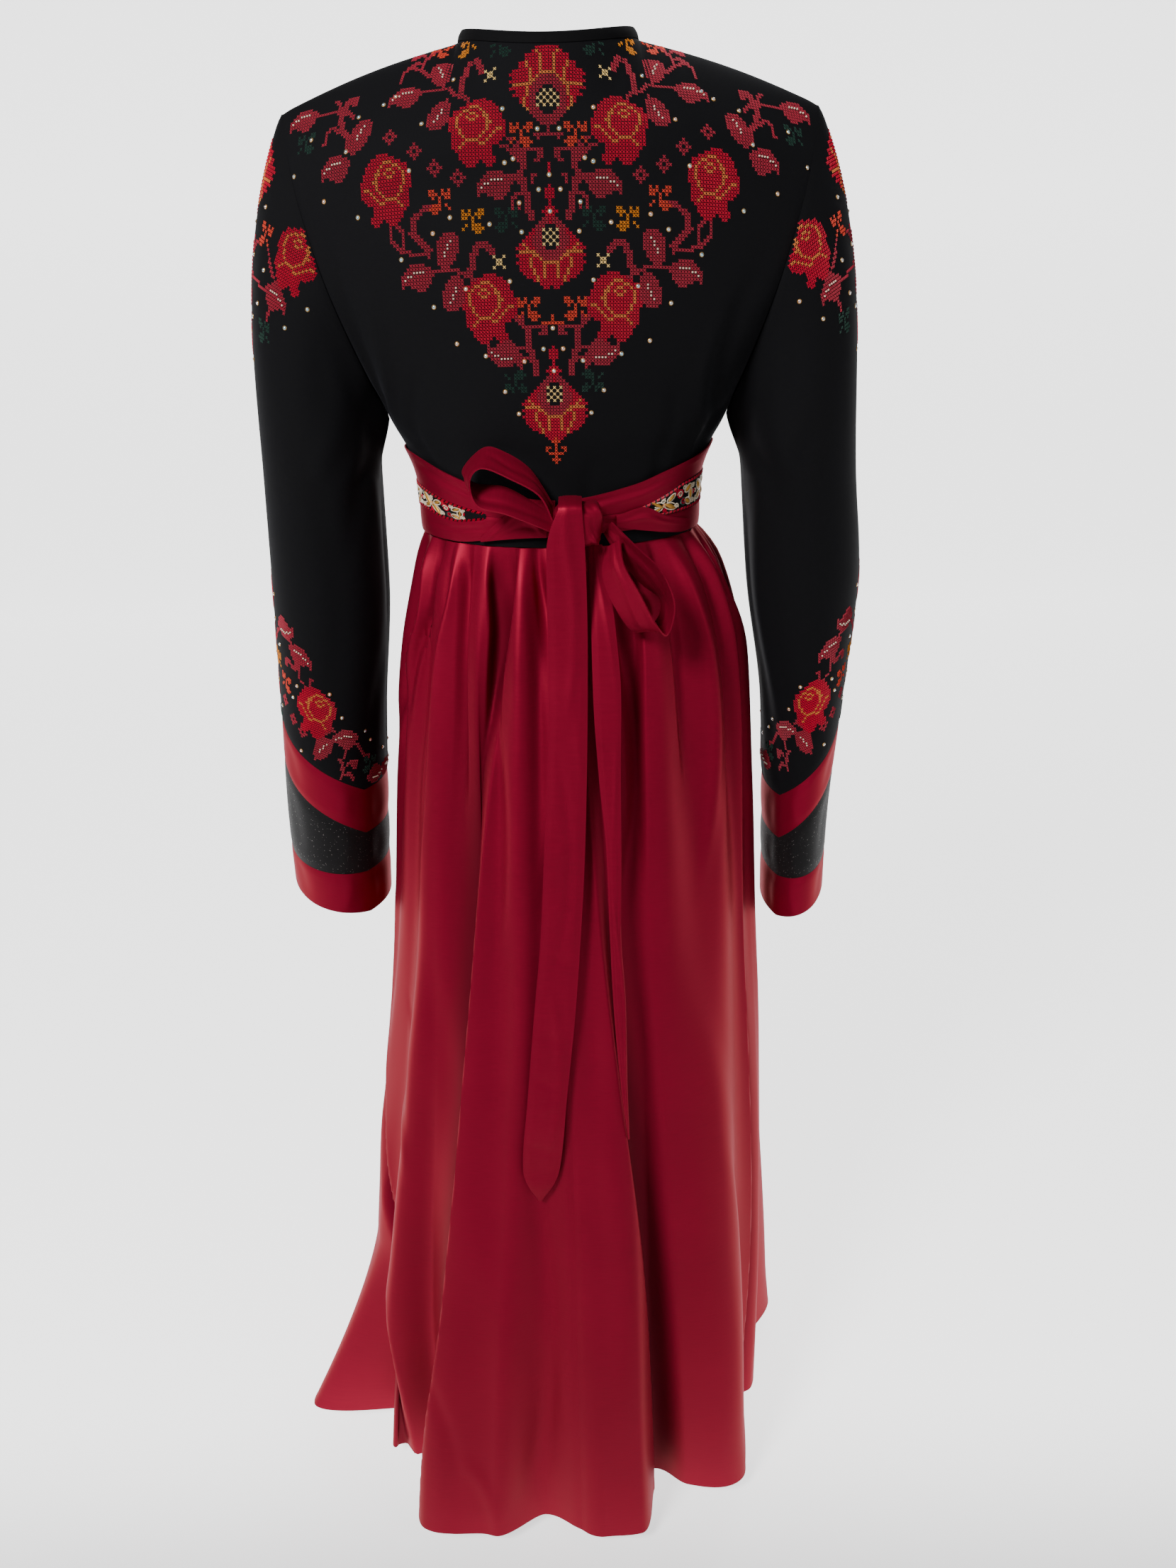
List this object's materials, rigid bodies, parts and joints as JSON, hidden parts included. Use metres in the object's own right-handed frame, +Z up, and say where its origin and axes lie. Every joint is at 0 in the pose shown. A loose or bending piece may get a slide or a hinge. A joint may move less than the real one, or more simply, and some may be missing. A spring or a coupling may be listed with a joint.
{
  "type": "palestinian thobe dress",
  "caption": "Long-sleeved, floor-length embroidered dress in its hollow worn form, with a gathered satin skirt and a wide belt tied at the back in a bow with hanging ties.",
  "frame": {"origin": "the middle of the neck at the height of the shoulders' inner ends, where the wearer carries the dress", "axes": "+Z up; -Y is the wearer's back, where the belt is tied, +Y the front, and +X the wearer's right"},
  "size_m": [0.6312, 0.5373, 1.5066],
  "materials": {
    "black_crepe_embroidered": "matt black crepe with coloured cross-stitch, beads and small stones",
    "black_binding": "matt black crepe, plain",
    "crimson_satin": "crimson satin with a soft sheen",
    "speckled_black": "fine black cloth with small pale specks",
    "embroidered_strip": "black ribbon with close metallic and coloured ornament"
  },
  "bodies": {
    "root": {"bodice_back": "black_crepe_embroidered", "bodice_front": "black_crepe_embroidered", "neck_binding": "black_binding", "sleeve_left": "black_crepe_embroidered", "sleeve_right": "black_crepe_embroidered", "sleeve_left_band_upper": "crimson_satin", "sleeve_left_band_black": "speckled_black", "sleeve_left_cuff": "crimson_satin", "sleeve_right_band_upper": "crimson_satin", "sleeve_right_band_black": "speckled_black", "sleeve_right_cuff": "crimson_satin", "skirt_back_left": "crimson_satin", "skirt_back_right": "crimson_satin", "skirt_front": "crimson_satin", "belt_upper_strip": "crimson_satin", "belt_lower_strip": "crimson_satin", "belt_end_left": "crimson_satin", "belt_end_right": "crimson_satin", "bow_knot": "crimson_satin", "bow_loop_left": "crimson_satin", "bow_loop_right": "crimson_satin", "tie_long": "crimson_satin", "tie_short": "crimson_satin", "belt_embroidered_strip": "embroidered_strip"}
  },
  "joints": []
}
